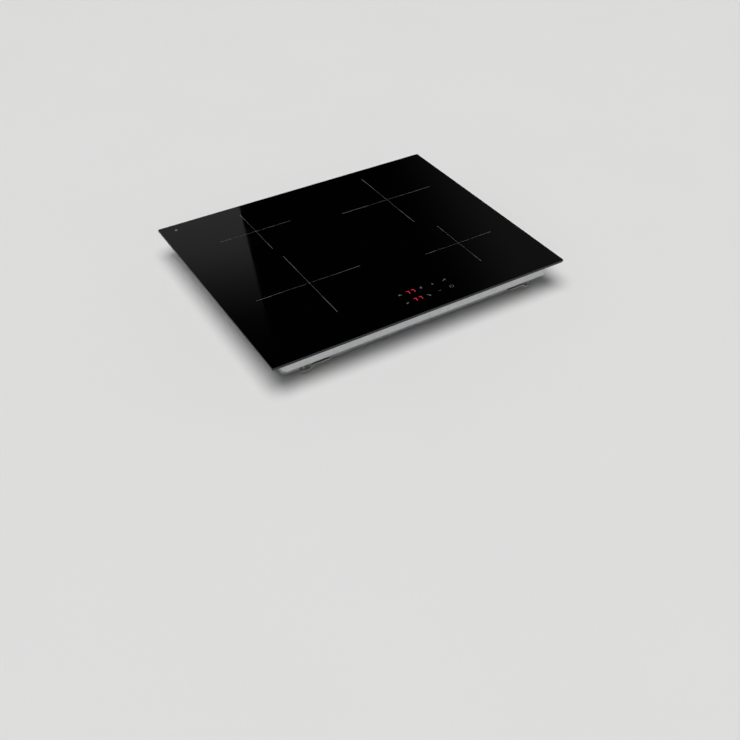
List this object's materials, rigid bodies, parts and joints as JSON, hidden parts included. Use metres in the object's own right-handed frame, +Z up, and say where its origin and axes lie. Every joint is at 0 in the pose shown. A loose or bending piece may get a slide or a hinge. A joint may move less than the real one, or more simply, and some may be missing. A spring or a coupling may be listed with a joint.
{
  "type": "induction hob",
  "caption": "Built-in induction hob: flat black glass plate with printed zone crosses and touch controls over a shallow steel tray with coils, fans and swivelling clamps.",
  "frame": {"origin": "under the middle of the glass, on the surface that the tray's feet stand on", "axes": "+X along the front edge to the user's right, +Y to the back, +Z up out of the cooking surface"},
  "size_m": [0.6, 0.51, 0.056],
  "materials": {
    "black_glass": "polished black glass-ceramic",
    "sealing_tape": "matt foam tape",
    "zinc_steel": "galvanised sheet with a faint spangle",
    "spring_steel": "zinc-plated strip",
    "screw_steel": "zinc-plated",
    "aluminium": "mill finish",
    "copper": "enamelled stranded wire",
    "mica": "pressed mica board",
    "silicone": "silicone",
    "black_plastic": "moulded",
    "grey_plastic": "moulded, glass filled",
    "white_plastic": "moulded",
    "circuit_board": "solder resist",
    "capacitor_case": "moulded case",
    "choke_core": "varnished",
    "rubber": "moulded"
  },
  "bodies": {
    "hob": {"board_carrier_left": "white_plastic", "board_carrier_right": "white_plastic", "bottom_tray": "zinc_steel", "cable_grommet": "rubber", "capacitor_front_left": "capacitor_case", "capacitor_front_right": "capacitor_case", "capacitor_rear_left": "capacitor_case", "capacitor_rear_right": "capacitor_case", "choke_left": "choke_core", "choke_right": "choke_core", "clamp_screw_front_left": "screw_steel", "clamp_screw_front_right": "screw_steel", "clamp_screw_rear_left": "screw_steel", "clamp_screw_rear_right": "screw_steel", "coil_carrier_front_left": "grey_plastic", "coil_carrier_front_right": "grey_plastic", "coil_carrier_rear_left": "grey_plastic", "coil_carrier_rear_right": "grey_plastic", "coil_mat_front_left": "mica", "coil_mat_front_right": "mica", "coil_mat_rear_left": "mica", "coil_mat_rear_right": "mica", "coil_plate": "aluminium", "coil_sensor_front_left": "silicone", "coil_sensor_front_right": "silicone", "coil_sensor_rear_left": "silicone", "coil_sensor_rear_right": "silicone", "coil_winding_front_left": "copper", "coil_winding_front_right": "copper", "coil_winding_rear_left": "copper", "coil_winding_rear_right": "copper", "display_front": "white_plastic", "display_rear": "white_plastic", "fan_housing_left": "black_plastic", "fan_housing_right": "black_plastic", "fan_motor_left": "grey_plastic", "fan_motor_right": "grey_plastic", "glass_rail_front": "zinc_steel", "glass_rail_left": "zinc_steel", "glass_rail_rear": "zinc_steel", "glass_rail_right": "zinc_steel", "glass_top": "black_glass", "heatsink_left": "aluminium", "heatsink_right": "aluminium", "power_board_left": "circuit_board", "power_board_right": "circuit_board", "rim_gasket": "sealing_tape", "terminal_block": "white_plastic", "terminal_box": "white_plastic", "touch_board": "circuit_board", "touch_cable": "grey_plastic", "touch_carrier": "black_plastic"},
    "left_rotor": {"fan_rotor_left": "black_plastic"},
    "right_rotor": {"fan_rotor_right": "black_plastic"},
    "front_left_clamp": {"clamp_front_left": "spring_steel"},
    "front_right_clamp": {"clamp_front_right": "spring_steel"},
    "rear_left_clamp": {"clamp_rear_left": "spring_steel"},
    "rear_right_clamp": {"clamp_rear_right": "spring_steel"},
    "cover": {"terminal_cover": "white_plastic"}
  },
  "joints": [
    {"name": "left_fan_spin", "type": "hinge", "parent": "hob", "child": "left_rotor", "pos_m": [-0.14, 0.16, 0.012], "axis": [0, 0, 1], "continuous": true},
    {"name": "right_fan_spin", "type": "hinge", "parent": "hob", "child": "right_rotor", "pos_m": [0.14, 0.16, 0.012], "axis": [0, 0, 1], "continuous": true},
    {"name": "front_left_clamp_swing", "type": "hinge", "parent": "hob", "child": "front_left_clamp", "pos_m": [-0.235, -0.232, 0.0122], "axis": [0, 0, -1], "range_deg": [0, 90]},
    {"name": "front_right_clamp_swing", "type": "hinge", "parent": "hob", "child": "front_right_clamp", "pos_m": [0.235, -0.232, 0.0122], "axis": [0, 0, 1], "range_deg": [0, 90]},
    {"name": "rear_left_clamp_swing", "type": "hinge", "parent": "hob", "child": "rear_left_clamp", "pos_m": [-0.235, 0.232, 0.0122], "axis": [0, 0, 1], "range_deg": [0, 90]},
    {"name": "rear_right_clamp_swing", "type": "hinge", "parent": "hob", "child": "rear_right_clamp", "pos_m": [0.235, 0.232, 0.0122], "axis": [0, 0, -1], "range_deg": [0, 90]},
    {"name": "cover_swing", "type": "hinge", "parent": "hob", "child": "cover", "pos_m": [0, 0.1629, 0.0065], "axis": [-1, 0, 0], "range_deg": [0, 100]}
  ]
}
